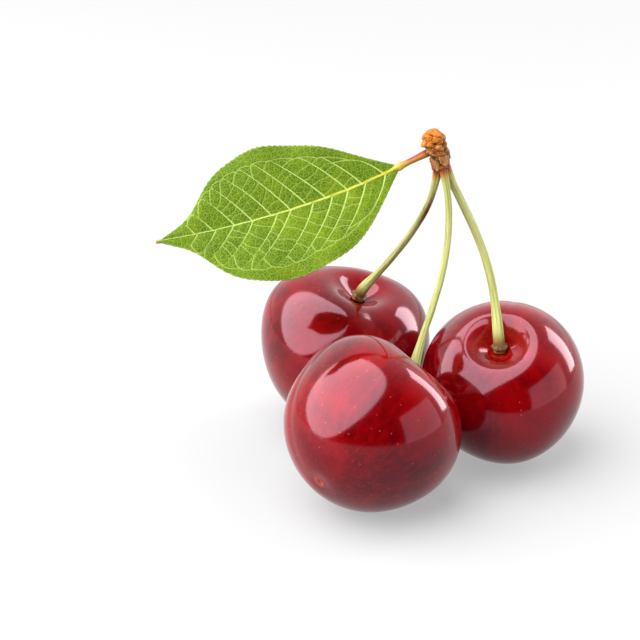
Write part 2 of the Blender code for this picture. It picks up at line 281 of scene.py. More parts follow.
def useGroup(tree, group, **inputs):
    made = tree.nodes.new("ShaderNodeGroup")
    made.node_tree = group
    for key, value in inputs.items():
        feed(tree, made.inputs[key.replace("_", " ")], value)
    return made.outputs[0]


def newMaterial(name, colour, roughness, **constants):
    material = bpy.data.materials.new(name)
    material.use_nodes = True
    material.diffuse_color = rgb(*colour)
    tree = material.node_tree
    shader = tree.nodes["Principled BSDF"]
    for key, value in constants.items():
        shader.inputs[key.replace("_", " ")].default_value = value
    shader.inputs["Roughness"].default_value = roughness
    return material, tree, shader


def tint(tree, colour, share, *paler):
    return blendColour(tree, share, colour, rgb(*paler))


def paint(tree, shader, colour, roughness):
    tree.links.new(colour, shader.inputs["Base Color"])
    tree.links.new(roughness, shader.inputs["Roughness"])


def addBump(tree, shader, height, strength, distance):
    bump = addNode(tree, "Bump", Height=height, Strength=strength, Distance=distance)
    tree.links.new(bump.outputs[0], shader.inputs["Normal"])


# camera, light and floor

studio = {
    "cameraAim": (-8.8, -9.0, 30.0), "cameraDistance": 455.0, "cameraHeight": 26.0, "lens": 160.0,
    "lightAim": (0.0, 0.0, 20.0), "backdropBright": 1.5, "backdropDark": 0.04,
    "floorHalf": 3.0, "floorGlow": 0.38,
}
lights = {
    "softbox": {"direction": (-0.635, -0.19, 0.775), "distance": 470.0, "size": (830.0, 1190.0),
                "power": 18.5, "roll": 0.0, "shape": "ELLIPSE"},
    "strip": {"direction": (0.80, 0.46, 0.38), "distance": 420.0, "size": (130.0, 330.0),
              "power": 1.5, "roll": -20.0, "shape": "RECTANGLE"},
    "card": {"direction": (0.87, -0.42, 0.24), "distance": 380.0, "size": (420.0, 250.0),
             "power": 0.62, "roll": 0.0, "shape": "RECTANGLE"},
}


def addLight(name, light):
    data = bpy.data.lights.new(name, "AREA")
    data.shape = light["shape"]
    data.size, data.size_y = light["size"][0] * mm, light["size"][1] * mm
    data.energy = light["power"]
    lamp = addObject(name, data)
    way = Vector(light["direction"]).normalized()
    lamp.location = way * light["distance"] * mm + Vector(studio["lightAim"]) * mm
    lamp.rotation_mode = "QUATERNION"
    roll = Quaternion((0, 0, 1), math.radians(light["roll"]))
    lamp.rotation_quaternion = way.to_track_quat("Z", "Y") @ roll
    lamp.visible_camera = False


def setStudio():
    scene.view_settings.view_transform = "Standard"
    data = bpy.data.cameras.new("camera")
    data.lens = studio["lens"]
    camera = addObject("camera", data)
    tilt = math.radians(studio["cameraHeight"])
    away = Vector((0.0, -math.cos(tilt), math.sin(tilt)))
    camera.location = (Vector(studio["cameraAim"]) + away * studio["cameraDistance"]) * mm
    camera.rotation_euler = away.to_track_quat("Z", "Y").to_euler()
    scene.camera = camera
    for name, light in lights.items():
        addLight(name, light)
    world = bpy.data.worlds.new("studio")
    world.use_nodes = True
    scene.world = world
    tree = world.node_tree
    way = addNode(tree, "TexCoord").outputs["Generated"]
    depth = addNode(tree, "SeparateXYZ", Vector=way).outputs["Y"]
    glow = between(tree, depth, -0.5, 0.9, studio["backdropDark"], studio["backdropBright"])
    tree.nodes["Background"].inputs["Color"].default_value = rgb(1.0, 1.0, 1.0)
    tree.links.new(glow, tree.nodes["Background"].inputs["Strength"])
    half = studio["floorHalf"]
    mesh = bpy.data.meshes.new("floor")
    mesh.from_pydata([(-half, -half, 0), (half, -half, 0), (half, half, 0), (-half, half, 0)], [],
                     [(0, 1, 2, 3)])
    floor = addObject("floor", mesh)
    material, tree, shader = newMaterial("floorPale", (0.32, 0.32, 0.32), 0.8, Specular_IOR_Level=0.1,
                                         Emission_Strength=studio["floorGlow"])
    shader.inputs["Emission Color"].default_value = rgb(1.0, 1.0, 1.0)
    spots = noise(tree, addNode(tree, "TexCoord").outputs["Object"], 3.0)
    tree.links.new(blendColour(tree, spots, rgb(0.165, 0.165, 0.168), rgb(0.175, 0.175, 0.175)),
                   shader.inputs["Base Color"])
    mesh.materials.append(material)


setStudio()
print("studio set")


# cherries

cherries = {
    "front": {"width": 28.4, "height": 27.4, "lean": 59.0, "heading": 47.0, "seam": 190.0,
              "bulges": ((108.0, 58.0, 1.1, 0.5), (180.0, 10.0, 0.65, 0.6), (29.0, 44.0, -1.8, 0.4)),
              "notch": 0.5, "tip": (228.0, -20.9),
              "dots": 0.62, "mottle": 0.55, "seed": 11},
    "left": {"width": 28.0, "height": 27.2, "lean": 14.0, "heading": -14.0, "seam": -72.0,
             "bulges": ((15.0, 31.0, 0.9, 0.45), (160.0, 41.0, 1.5, 0.48)),
             "notch": 0.6, "tip": (166.0, -76.0),
             "dots": 0.16, "mottle": 0.25, "seed": 12},
    "right": {"width": 27.0, "height": 25.6, "lean": 26.0, "heading": -104.0, "seam": 75.0,
              "bulges": ((-80.0, -32.0, 1.0, 0.6), (90.0, 50.0, 0.2, 0.5)),
              "notch": 0.1, "tip": (76.0, -64.0),
              "dots": 0.38, "mottle": 0.4, "seed": 13},
}
fruitShape = {
    "shoulder": 0.08, "cavityDepth": 3.9, "cavityRadius": 4.4, "dimpleDepth": 0.45, "dimpleRadius": 2.2,
    "seamDepth": 0.16, "seamWidth": 0.9, "notchWidth": 3.2,
    "scarDepth": 0.22, "scarRadius": 0.42, "scarRim": 0.1, "unevenness": 0.07,
    "swellClear": 2.8, "stemStain": 3.2, "tipStain": 0.95, "lipAngle": 0.5, "lipSpread": 0.42,
    "rows": 190, "cols": 236, "crowding": 0.45,
}


def fruitProfile(fruit, angle, dimple=fruitShape["dimpleDepth"]):
    # half width times sine, fuller at the stem half; half height times cosine, less a bell-shaped
    # hollow round the stem and a shallow one at the tip
    s = fruitShape
    radius = 0.5 * fruit["width"] * np.sin(angle) * (1.0 + s["shoulder"] * np.cos(angle))
    level = 0.5 * fruit["height"] * np.cos(angle)
    hollow = np.where(level > 0, -s["cavityDepth"] * bell(radius, s["cavityRadius"]),
                      dimple * bell(radius, s["dimpleRadius"]))
    return radius, level + hollow


def placeFruit(name, fruit):
    # the centre is the CAD box's high side, less how far the profile reaches that way
    fruit["turn"] = leaning(fruit["lean"], fruit["heading"])
    fruit["axis"] = fruit["turn"] @ up
    radius, level = fruitProfile(fruit, np.linspace(0.0, np.pi, 400))
    sine = np.sqrt(1.0 - fruit["axis"] ** 2)
    reach = (radius[:, None] * sine + level[:, None] * fruit["axis"]).max(axis=0)
    fruit["centre"] = np.array(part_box("cherry_" + name)[1]) / mm - reach


def turnFrom(outward, heading, rise):
    # angle between outward directions and the one that faces a compass heading, raised by rise
    facing = compass(heading) * math.cos(math.radians(rise)) + up * math.sin(math.radians(rise))
    return np.arccos(np.clip(outward @ facing, -1.0, 1.0))


def makeCherry(name, fruit):
    # the profile turned about the stem axis, with the seam and a notch of the cavity's lip pressed in
    # along one meridian; then broad bulges, a dimple with a scar at the blossom end, all pushed along
    # the outward direction, and the underside flattened on the floor
    s = fruitShape
    share = np.linspace(0.0, 1.0, s["rows"] + 2)
    share[0], share[-1] = 0.0004, 0.9996
    angle = np.pi * share - 0.5 * s["crowding"] * np.sin(2 * np.pi * share)
    angle, around = np.meshgrid(angle, turns(s["cols"]), indexing="ij")
    radius, level = fruitProfile(fruit, angle, 0.0)
    offSeam = wrapped(around - math.radians(fruit["seam"]))
    across = radius * offSeam
    onSeam = np.cos(0.5 * offSeam) ** 2
    seam = bell(across, s["seamWidth"]) * onSeam * np.sin(angle) ** 0.5
    lip = bell(angle - s["lipAngle"], s["lipSpread"])
    notch = bell(across, s["notchWidth"]) * onSeam * lip
    radius = radius - s["seamDepth"] * seam - 0.5 * fruit["notch"] * notch
    level = level - fruit["notch"] * notch
    local = ringPoints(radius, around, level)
    points = local @ fruit["turn"].T
    outward = points / np.linalg.norm(points, axis=-1, keepdims=True)
    swell = s["unevenness"] * ripples(local, 11.0, 7, fruit["seed"]) * np.sin(angle) ** 0.5
    for heading, rise, height, spread in fruit["bulges"]:
        bulge = height * bell(turnFrom(outward, heading, rise), spread)
        swell = swell + bulge * (1 - bell(radius, s["swellClear"]))
    fromTip = 0.5 * fruit["height"] * turnFrom(outward, *fruit["tip"])
    swell = swell - s["dimpleDepth"] * bell(fromTip, s["dimpleRadius"])
    swell = swell - s["scarDepth"] * bell(fromTip, s["scarRadius"])
    swell = swell + s["scarRim"] * bell(fromTip - 1.7 * s["scarRadius"], 0.6 * s["scarRadius"])
    points = points + outward * swell[..., None] + fruit["centre"]
    points[..., 2] = np.maximum(points[..., 2], 0.0)
    marks = {"grain": local, "stemEnd": bell(radius, s["stemStain"]) * (angle < 1.5),
             "tipScar": bell(fromTip, s["tipStain"])}
    piece = ringMesh("cherry_skin_" + name, points, marks)
    finishPiece(piece, cherryMaterial(name, fruit), "cherry_skin", "cherry_" + name)


def cherryMaterial(name, fruit):
    material, tree, shader = newMaterial("cherrySkin_" + name, (0.25, 0.001, 0.003), 0.1, IOR=1.46,
                                         Specular_Tint=rgb(1.0, 0.6, 0.74))
    grain = mark(tree, "grain", "Vector")
    broad = useGroup(tree, mottleGroup, Vector=grain, Scale=0.09, Fine_Share=0.15)
    colour = ramp(tree, broad, [(0.0, (0.05, 0.0, 0.0006)), (0.45, (0.10, 0.0, 0.0007)),
                                (1.0, (0.155, 0.0001, 0.0008))])
    streaks = noise(tree, stretched(tree, grain, (1.0, 1.0, 0.16)), 1.1, 3.0, 0.6)
    colour = blendColour(tree, between(tree, streaks, 0.42, 0.75, 0.0, 0.5), colour,
                         rgb(0.17, 0.0001, 0.0008))
    grains = noise(tree, grain, 2.6, 2.0, 0.7)
    patchy = noise(tree, grain, 0.16, 1.0)
    share = mult(tree, between(tree, grains, 0.54, 0.72),
                 between(tree, patchy, 0.35, 0.65, 0.1, fruit["mottle"]))
    colour = tint(tree, colour, share, 0.21, 0.001, 0.002)
    dots = useGroup(tree, dotsGroup, Vector=grain, Scale=0.85, Size=0.13, Kept=fruit["dots"])
    colour = tint(tree, colour, mult(tree, dots, 0.6), 0.34, 0.05, 0.05)
    stemEnd = mult(tree, mark(tree, "stemEnd"), between(tree, streaks, 0.3, 0.7))
    colour = tint(tree, colour, mult(tree, stemEnd, 0.55), 0.28, 0.008, 0.002)
    scar = mark(tree, "tipScar")
    colour = tint(tree, colour, mult(tree, scar, 0.8), 0.27, 0.04, 0.03)
    rough = plus(tree, 0.06, mult(tree, grains, 0.1))
    paint(tree, shader, colour, plus(tree, rough, mult(tree, scar, 0.3)))
    relief = plus(tree, mult(tree, noise(tree, grain, 1.6, 2.0), 0.6),
                  mult(tree, dots, 0.5))
    addBump(tree, shader, relief, 0.05, 0.03 * mm)
    return material


for name, fruit in cherries.items():
    placeFruit(name, fruit)
    makeCherry(name, fruit)


# where the spur stands

spurSeat = {"fromFront": (11.3, 18.9, 50.0), "lean": 12.0, "heading": 170.0}
spurTurn = leaning(spurSeat["lean"], spurSeat["heading"])
spurFoot = cherries["front"]["centre"] * (1, 1, 0) + np.array(spurSeat["fromFront"])


def onSpur(azimuth, radius, level):
    # point round the spur, at a radius from its axis and a level above its seat
    return spurFoot + ringPoints(radius, np.radians(azimuth), level) @ spurTurn.T


# stalks

stalks = {
    "left": {"azimuth": 170.0, "spread": 19.0, "topReach": 8.5, "lean": 36.0, "heading": -40.0,
             "footReach": 10.5, "streak": 0.745, "girth": 1.02, "seed": 21},
    "front": {"azimuth": 290.0, "spread": 4.0, "topReach": 15.0, "lean": 32.0, "heading": 74.0,
              "footReach": 6.6, "streak": 0.0, "girth": 0.98, "seed": 22},
    "right": {"azimuth": 30.0, "spread": 13.0, "topReach": 13.5, "lean": 19.0, "heading": 102.0,
              "footReach": 15.5, "streak": 0.0, "girth": 1.2, "seed": 23},
}
stalkShape = {
    "radius": 0.56, "topRadius": 0.62, "footRadius": 0.95, "collar": 1.35, "gap": 0.3, "sink": 0.2,
    "footFlare": 9.0, "topFlare": 5.0, "seatBend": 2.0, "ringRadius": 0.99, "intoSpur": 1.7,
    "ribDepth": 0.045, "fineRibDepth": 0.03, "girthStart": 1.5, "girthLength": 5.0,
    "streakLength": 3.6, "streakFacing": 60.0,
    "rows": 260, "cols": 40,
}


def stalkRoute(fruit, stalk):
    # cubic curve from the collar to the spur, bent into the fruit's axis at the collar,
    # then led down to the cavity's floor and up into the spur
    s = stalkShape
    seatAngle = math.asin(2.0 * s["collar"] / fruit["width"])
    level = fruitProfile(fruit, np.array([seatAngle]))[1][0] + s["gap"]
    foot = fruit["centre"] + fruit["axis"] * level
    leave = leaning(stalk["lean"], stalk["heading"]) @ up
    spread = math.radians(stalk["spread"])
    top = onSpur(stalk["azimuth"], s["ringRadius"], -(s["gap"] + s["topRadius"] * math.sin(spread)))
    arrive = spurTurn @ (compass(stalk["azimuth"]) * math.sin(spread) - up * math.cos(spread))
    share = (np.linspace(0.0, 1.0, s["rows"]) ** 1.35)[:, None]
    route = ((1 - share) ** 3 * foot + 3 * share * (1 - share) ** 2 * (foot + leave * stalk["footReach"])
             + 3 * share ** 2 * (1 - share) * (top + arrive * stalk["topReach"]) + share ** 3 * top)
    away = np.linalg.norm(route - foot, axis=1, keepdims=True)
    route = route + (fruit["axis"] - leave) * away * np.exp(-away / s["seatBend"])
    below = foot - fruit["axis"] * np.linspace(s["gap"] + s["sink"], 0.06, 9)[:, None]
    above = top - arrive * np.linspace(0.1, s["intoSpur"], 6)[:, None]
    return np.vstack([below, route, above])


def stalkRadius(fromFoot, fromTop):
    # slender in the middle, eased thicker to both ends; a receptacle ring, a pinch and the flared
    # collar at the foot are bells along the length
    s = stalkShape
    radius = eased(s["footRadius"], s["radius"], (fromFoot - 0.6) / s["footFlare"])
    radius = radius + eased(s["topRadius"] + 0.1 - s["radius"], 0.0, fromTop / s["topFlare"])
    radius = radius + 0.16 * bell(fromFoot - 0.25, 0.22) - 0.06 * bell(fromFoot - 0.55, 0.12)
    return radius + (s["collar"] - s["footRadius"]) * bell(fromFoot - 0.86, 0.26)


def makeStalk(name, stalk):
    # the radius carried along the route, its round section pressed into low ribs that turn slowly
    s = stalkShape
    rng = np.random.default_rng(stalk["seed"])
    route = stalkRoute(cherries[name], stalk)
    travelled = np.concatenate([[0.0], np.cumsum(np.linalg.norm(np.diff(route, axis=0), axis=1))])
    fromTop = travelled[-1] - travelled
    around = turns(s["cols"])
    along = travelled[:, None]
    ribs = s["ribDepth"] * np.cos(3 * around + 0.12 * along + rng.uniform(0, 6))
    ribs = ribs + s["fineRibDepth"] * np.cos(5 * around - 0.2 * along + rng.uniform(0, 6))
    ragged = 0.07 * np.sin(7 * around + 2.0 * np.sin(3 * around)) * bell(along - 0.9, 0.3)
    thickening = np.clip((along - s["girthStart"]) / s["girthLength"], 0.0, 1.0)
    girth = 1.0 + (stalk["girth"] - 1.0) * thickening
    radius = stalkRadius(along, fromTop[:, None]) * girth * (1.0 + ribs + ragged)
    local = ringPoints(1.0, around, along)
    radius = radius + 0.03 * ripples(local * (1, 1, 0.5), 2.2, 6, stalk["seed"])
    grid = tube(route, radius, s["cols"], np.array([0.0, -1.0, 0.2]))
    facing = np.cos(around - math.radians(s["streakFacing"]))
    streak = np.zeros(grid.shape[:2])
    if stalk["streak"]:
        place = travelled[-1] * stalk["streak"]
        streak = bell(along - place, s["streakLength"]) * np.clip(facing * 1.4, 0.0, 1.0)
    marks = {"grain": local, "fromFoot": along, "fromTop": fromTop[:, None],
             "streak": streak}
    piece = ringMesh("stalk_skin_" + name, grid, marks, (route[0], route[-1]))
    finishPiece(piece, stalkSkin, "stalk", "stalk_" + name)


def stalkMaterial():
    material, tree, shader = newMaterial("stalkGreen", (0.3, 0.32, 0.1), 0.4, Specular_IOR_Level=0.25)
    grain = mark(tree, "grain", "Vector")
    fromFoot = mark(tree, "fromFoot")
    fromTop = mark(tree, "fromTop")
    fibres = noise(tree, stretched(tree, grain, (2.2, 2.2, 0.09)), 1.6, 3.0, 0.6)
    colour = ramp(tree, fibres, [(0.3, (0.16, 0.18, 0.028)), (0.5, (0.29, 0.30, 0.08)),
                                 (0.7, (0.42, 0.42, 0.20))])
    blotch = useGroup(tree, mottleGroup, Vector=stretched(tree, grain, (1.0, 1.0, 0.35)), Scale=0.6,
                      Fine_Share=0.35)
    colour = tint(tree, colour, between(tree, blotch, 0.72, 1.0, 0.0, 0.5), 0.19, 0.14, 0.035)
    flecks = useGroup(tree, dotsGroup, Vector=stretched(tree, grain, (1.0, 1.0, 0.45)), Scale=1.7,
                      Size=0.2, Kept=0.3)
    colour = tint(tree, colour, mult(tree, flecks, 0.6), 0.16, 0.08, 0.02)
    streak = mult(tree, mark(tree, "streak"),
                  between(tree, fibres, 0.25, 0.5, 0.55, 1.0))
    colour = tint(tree, colour, streak, 0.10, 0.02, 0.004)
    uneven = mult(tree, calc(tree, "SUBTRACT", fibres, 0.5), 3.0)
    topShare = calc(tree, "DIVIDE", plus(tree, fromTop, uneven), 3.0, True)
    topColour = ramp(tree, topShare, [(0.2, (0.13, 0.016, 0.002)), (0.36, (0.23, 0.06, 0.006)),
                                      (0.56, (0.29, 0.14, 0.016)), (0.9, (0.25, 0.27, 0.06))])
    colour = blendColour(tree, between(tree, topShare, 1.0, 0.45), colour, topColour)
    footShare = calc(tree, "DIVIDE", fromFoot, 4.0, True)
    footColour = ramp(tree, footShare, [(0.0, (0.22, 0.07, 0.01)), (0.115, (0.32, 0.16, 0.03)),
                                        (0.15, (0.035, 0.01, 0.003)), (0.24, (0.09, 0.035, 0.01)),
                                        (0.5, (0.19, 0.12, 0.035)), (1.0, (0.26, 0.25, 0.08))])
    colour = blendColour(tree, between(tree, fromFoot, 4.2, 1.6), colour, footColour)
    crust = mult(tree, between(tree, noise(tree, grain, 3.0), 0.5, 0.62),
                 between(tree, fromFoot, 3.2, 0.9, 0.0, 0.75))
    colour = tint(tree, colour, crust, 0.07, 0.022, 0.006)
    paint(tree, shader, colour, plus(tree, 0.3, mult(tree, blotch, 0.2)))
    addBump(tree, shader, plus(tree, fibres, mult(tree, crust, 0.6)), 0.5, 0.08 * mm)
    return material


stalkSkin = stalkMaterial()
for name, stalk in stalks.items():
    makeStalk(name, stalk)


# spur

# lumps: azimuth, level, half width round, half height, how far it stands out
spur = {
    "length": 7.6, "seatLevel": 0.85, "seatRadius": 1.5, "waistRadius": 1.42, "knobRadius": 1.62,
    "waistAt": 0.4, "knobOver": 0.32, "domeOver": 0.28, "bend": -0.35, "rows": 170, "cols": 180,
    "lumps": ((215.0, 6.9, 0.9, 0.7, 0.1), (318.0, 6.3, 0.9, 0.9, 0.36), (270.0, 6.6, 0.35, 0.6, -0.22),
              (196.0, 5.3, 0.75, 0.62, 0.55), (214.0, 5.4, 0.7, 0.35, 0.28), (222.0, 4.1, 0.7, 0.45, 0.42),
              (236.0, 3.0, 0.5, 0.42, -0.42), (262.0, 2.3, 0.42, 0.36, -0.36), (250.0, 3.6, 0.35, 0.3, 0.2),
              (285.0, 4.7, 0.5, 0.55, 0.34), (305.0, 3.9, 0.4, 0.5, 0.24), (284.0, 3.3, 0.45, 0.35, 0.22),
              (270.0, 5.5, 0.5, 0.22, -0.26), (345.0, 4.4, 0.36, 1.7, 0.36), (328.0, 5.2, 0.22, 1.3, -0.2),
              (322.0, 1.6, 0.28, 0.26, -0.4), (296.0, 1.3, 0.4, 0.3, 0.3), (240.0, 1.4, 0.5, 0.35, 0.24),
              (30.0, 5.6, 0.8, 0.6, 0.4), (75.0, 4.2, 0.7, 0.5, 0.35), (120.0, 5.4, 0.8, 0.7, 0.36),
              (150.0, 3.4, 0.6, 0.5, 0.3), (50.0, 2.6, 0.6, 0.5, 0.28), (100.0, 2.4, 0.5, 0.3, -0.3),
              (170.0, 6.3, 0.5, 0.5, 0.25), (10.0, 3.0, 0.4, 0.6, 0.2), (135.0, 1.6, 0.6, 0.4, 0.24)),
}


def spurRadius(level):
    # eased from seat to waist to knob, then a round dome
    s = spur
    share = level / s["length"]
    past = share - s["waistAt"]
    body = np.where(past < 0, eased(s["seatRadius"], s["waistRadius"], share / s["waistAt"]),
                    eased(s["waistRadius"], s["knobRadius"], past / s["knobOver"]))
    dome = np.clip((share - 1.0 + s["domeOver"]) / s["domeOver"], 0.0, 1.0)
    return body * np.sqrt(1.0 - dome ** 2)


def makeSpur():
    # radius by level, with lumps and hollows as bells round and up the surface, and fine folds
    s = spur
    level = np.sin(0.5 * np.pi * np.linspace(0.0, 0.995, s["rows"]))[:, None]
    level = s["seatLevel"] + (s["length"] - s["seatLevel"]) * level
    around = turns(s["cols"])
    radius = spurRadius(level) + 0 * around
    relief = np.zeros(radius.shape)
    for azimuth, height, wide, tall, out in s["lumps"]:
        off = wrapped(around - math.radians(azimuth)) * np.maximum(radius, 0.5)
        relief = relief + out * np.exp(-((off / wide) ** 2 + ((level - height) / tall) ** 2) ** 1.25)
    local = ringPoints(radius, around, level)
    folds = ripples(local * (1, 1, 1.6), 1.5, 9, 5)
    creases = np.abs(ripples(local * (1, 1, 1.3), 2.2, 8, 8))
    fine = np.abs(ripples(local * (1, 1, 1.5), 1.1, 9, 14))
    relief = relief + 0.08 * folds + 0.32 * np.minimum(creases, 0.5) + 0.14 * np.minimum(fine, 0.6) - 0.16
    ends = np.clip((s["length"] - level) / 0.7, 0.0, 1.0) ** 0.5
    radius = np.maximum(radius + relief * np.where(level < 6.0, 1.0, ends), 0.02)
    lean = s["bend"] * (level / s["length"]) ** 2
    lift = relief * np.clip((level - 5.8) / 1.5, 0.0, 1.0) * 0.8
    grid = spurFoot + np.stack([radius * np.cos(around) + lean, radius * np.sin(around) + 0 * level,
                                level + lift], -1) @ spurTurn.T
    # the crease mark follows the valleys between the fine folds, where the bark is painted darker as
    # painted shade
    marks = {"grain": local, "level": level, "relief": relief,
             "creaseShade": np.maximum(bell(creases, 0.13), 0.75 * bell(fine, 0.12))}
    seat = spurFoot + spurTurn @ np.array([0.0, 0.0, s["seatLevel"] + 0.15])
    piece = ringMesh("spur_bark", grid, marks, (seat, grid[-1].mean(axis=0)))
    finishPiece(piece, spurMaterial(), "spur", "spur")


def spurMaterial():
    material, tree, shader = newMaterial("spurBark", (0.36, 0.15, 0.03), 0.5, Specular_IOR_Level=0.15)
    grain = mark(tree, "grain", "Vector")
    relief = mark(tree, "relief")
    blotch = useGroup(tree, mottleGroup, Vector=grain, Scale=0.75, Fine_Share=0.35)
    level = plus(tree, mark(tree, "level"),
                 mult(tree, calc(tree, "SUBTRACT", blotch, 0.5), 1.6))
    share = calc(tree, "DIVIDE", level, spur["length"], True)
    colour = ramp(tree, share, [(0.1, (0.11, 0.013, 0.002)), (0.2, (0.17, 0.045, 0.006)),
                                (0.32, (0.21, 0.08, 0.012)), (0.6, (0.23, 0.075, 0.01)),
                                (0.72, (0.30, 0.085, 0.004)), (1.0, (0.33, 0.095, 0.003))])
    # raised lumps tinted pinkish tan: partly the bark's own colour, partly painted highlight on the ridges
    pinkAndHighlight = between(tree, relief, 0.08, 0.32, 0.0, 0.6)
    low = between(tree, share, 0.85, 0.6, 0.15, 1.0)
    colour = tint(tree, colour, mult(tree, pinkAndHighlight, low), 0.36, 0.165, 0.05)
    olive = mult(tree, between(tree, relief, 0.02, -0.16),
                 between(tree, blotch, 0.2, 0.6, 0.3, 1.0))
    colour = tint(tree, colour, olive, 0.135, 0.08, 0.006)
    # painted shade: the bark darkened in the crease valleys between the fine folds
    creaseShade = mult(tree, mark(tree, "creaseShade"), between(tree, blotch, 0.0, 0.7, 0.45, 0.95))
    colour = tint(tree, colour, creaseShade, 0.10, 0.024, 0.003)
    # painted shade: the deepest hollows of the relief darkened to near black
    colour = tint(tree, colour, between(tree, relief, -0.1, -0.3, 0.0, 0.9), 0.035, 0.007, 0.001)
    grit = useGroup(tree, dotsGroup, Vector=grain, Scale=3.2, Size=0.3, Kept=0.35)
    colour = tint(tree, colour, mult(tree, grit, 0.45), 0.09, 0.022, 0.005)
    paint(tree, shader, colour, plus(tree, 0.4, mult(tree, blotch, 0.25)))
    fine = noise(tree, grain, 3.4, 4.0, 0.65)
    addBump(tree, shader, fine, 0.7, 0.12 * mm)
    return material


makeSpur()


# bud scales, in two rings: azimuth, root level, reach, half width, root and tip radius, curl
budScales = {
    "thickness": 0.2, "rows": 46, "cols": 34,
    "pieces": ((100.0, 2.3, 1.8, 0.85, 1.50, 1.72, 0.1), (250.0, 2.5, 1.5, 0.36, 1.5, 1.6, 0.1),
               (341.0, 2.9, 1.7, 0.54, 1.45, 1.55, 0.0), (-62.0, 3.2, 1.5, 0.62, 1.56, 1.8, 0.25),
               (24.0, 3.9, 2.0, 0.8, 1.6, 1.8, 0.05), (106.0, 3.8, 2.1, 0.85, 1.55, 1.90, 0.3)),
}


def makeScale(number, piece):
    # a thin curved shell: width falls as the root of 1 - share squared to a point, the middle cupped
    # outwards, the tip curled out, the edge ragged; the outer face goes across and the inner one back
    azimuth, root, reach, halfWidth, rootRadius, tipRadius, curl = piece
    s = budScales
    down = np.linspace(0.0, 0.985, s["rows"])[:, None]
    half = s["cols"] // 2
    across = np.concatenate([np.linspace(-1, 1, half), np.linspace(1, -1, half)])[None, :]
    outside = np.concatenate([np.ones(half), np.zeros(half)])[None, :]
    width = halfWidth * np.sqrt(1.0 - 0.97 * down ** 2.2)
    width = width * (0.75 + 0.5 * np.sin(np.pi * (0.2 + 0.6 * down)))
    width = width * (1.0 + 0.06 * np.sin(17 * down + number) * np.abs(across) ** 3)
    radius = rootRadius + (tipRadius - rootRadius) * down + curl * down ** 4
    radius = radius + 0.12 * (1 - across ** 2) * np.sin(np.pi * np.clip(down + 0.15, 0, 1))
    local = np.stack(np.broadcast_arrays(across * width, outside * s["thickness"], -reach * down), -1)
    radius = radius + 0.04 * ripples(local * (1.6, 1, 1), 1.3, 6, 40 + number)
    edge = np.clip((1 - np.abs(across)) / 0.18, 0.0, 1.0) ** 0.5
    radius = radius + (outside - 0.5) * s["thickness"] * (0.25 + 0.75 * edge)
    level = root - reach * down - 0.1 * np.abs(across) * down
    grid = onSpur(azimuth + np.degrees(across * width / rootRadius), radius, level)
    marks = {"grain": local, "down": down, "edge": 1 - edge}
    made = ringMesh(f"bud_scale_husk_{number}", grid, marks)
    finishPiece(made, scaleSkin, "bud_scale", f"bud_scale_{number}")


def scaleMaterial():
    material, tree, shader = newMaterial("budScaleTan", (0.3, 0.16, 0.07), 0.6, Specular_IOR_Level=0.3)
    grain = mark(tree, "grain", "Vector")
    fibres = noise(tree, stretched(tree, grain, (3.5, 1.0, 0.5)), 1.5, 3.0, 0.6)
    colour = ramp(tree, fibres, [(0.3, (0.13, 0.04, 0.005)), (0.55, (0.23, 0.09, 0.018)),
                                 (0.75, (0.33, 0.165, 0.055))])
    root = between(tree, mark(tree, "down"), 0.25, 0.0, 0.0, 0.6)
    colour = tint(tree, colour, root, 0.10, 0.022, 0.005)
    colour = blendColour(tree, mult(tree, mark(tree, "edge"), 0.6), colour,
                         rgb(0.34, 0.19, 0.085))
    stain = useGroup(tree, mottleGroup, Vector=grain, Scale=1.1, Fine_Share=0.4)
    colour = tint(tree, colour, between(tree, stain, 0.6, 1.0, 0.0, 0.6), 0.10, 0.024, 0.006)
    paint(tree, shader, colour, plus(tree, 0.45, mult(tree, stain, 0.25)))
    addBump(tree, shader, fibres, 0.6, 0.08 * mm)
    return material


scaleSkin = scaleMaterial()
for number, piece in enumerate(budScales["pieces"], 1):
    makeScale(number, piece)


# leaf: its spine, then the petiole and the blade

leaf = {
    "rootLevel": 3.2, "rootAzimuth": 185.0, "rootRadius": 1.305, "gap": 0.3, "petioleLength": 5.2,
    "petioleRadius": 0.6, "length": 40.8, "halfWidth": 11.7, "fullness": 0.28,
    "tipTaper": 0.75, "tipHollow": 0.36, "hollowAt": 0.885, "hollowWidth": 0.095,
    "heading": 180.0, "facing": 48.0, "droopAtRoot": 28.0, "droopAtTip": 9.0, "sag": 1.2, "fold": 7.0,
    "lift": 0.6, "liftReach": 10.0, "thickness": 0.26, "edgeThickness": 0.1, "ribRadius": 0.5,
    "ribShown": 0.26, "rows": 300, "topCols": 160, "underCols": 80,
    "teeth": 46, "toothDepth": 0.15, "wave": 0.35, "quilt": 0.16, "veinSink": 0.09,
}
veins = {
    "count": 11, "firstStart": 0.065, "lastStart": 0.84, "slopeAbove": 0.7, "slopeBelow": 0.9,
    "reach": 0.78, "halfWidth": 0.135, "archWidth": 0.1, "chainWidth": 0.085, "rungWidth": 0.078,
    "rungs": (0.3, 0.48, 0.66, 0.82), "rungLean": 0.17, "steps": 40, "seed": 7,
}


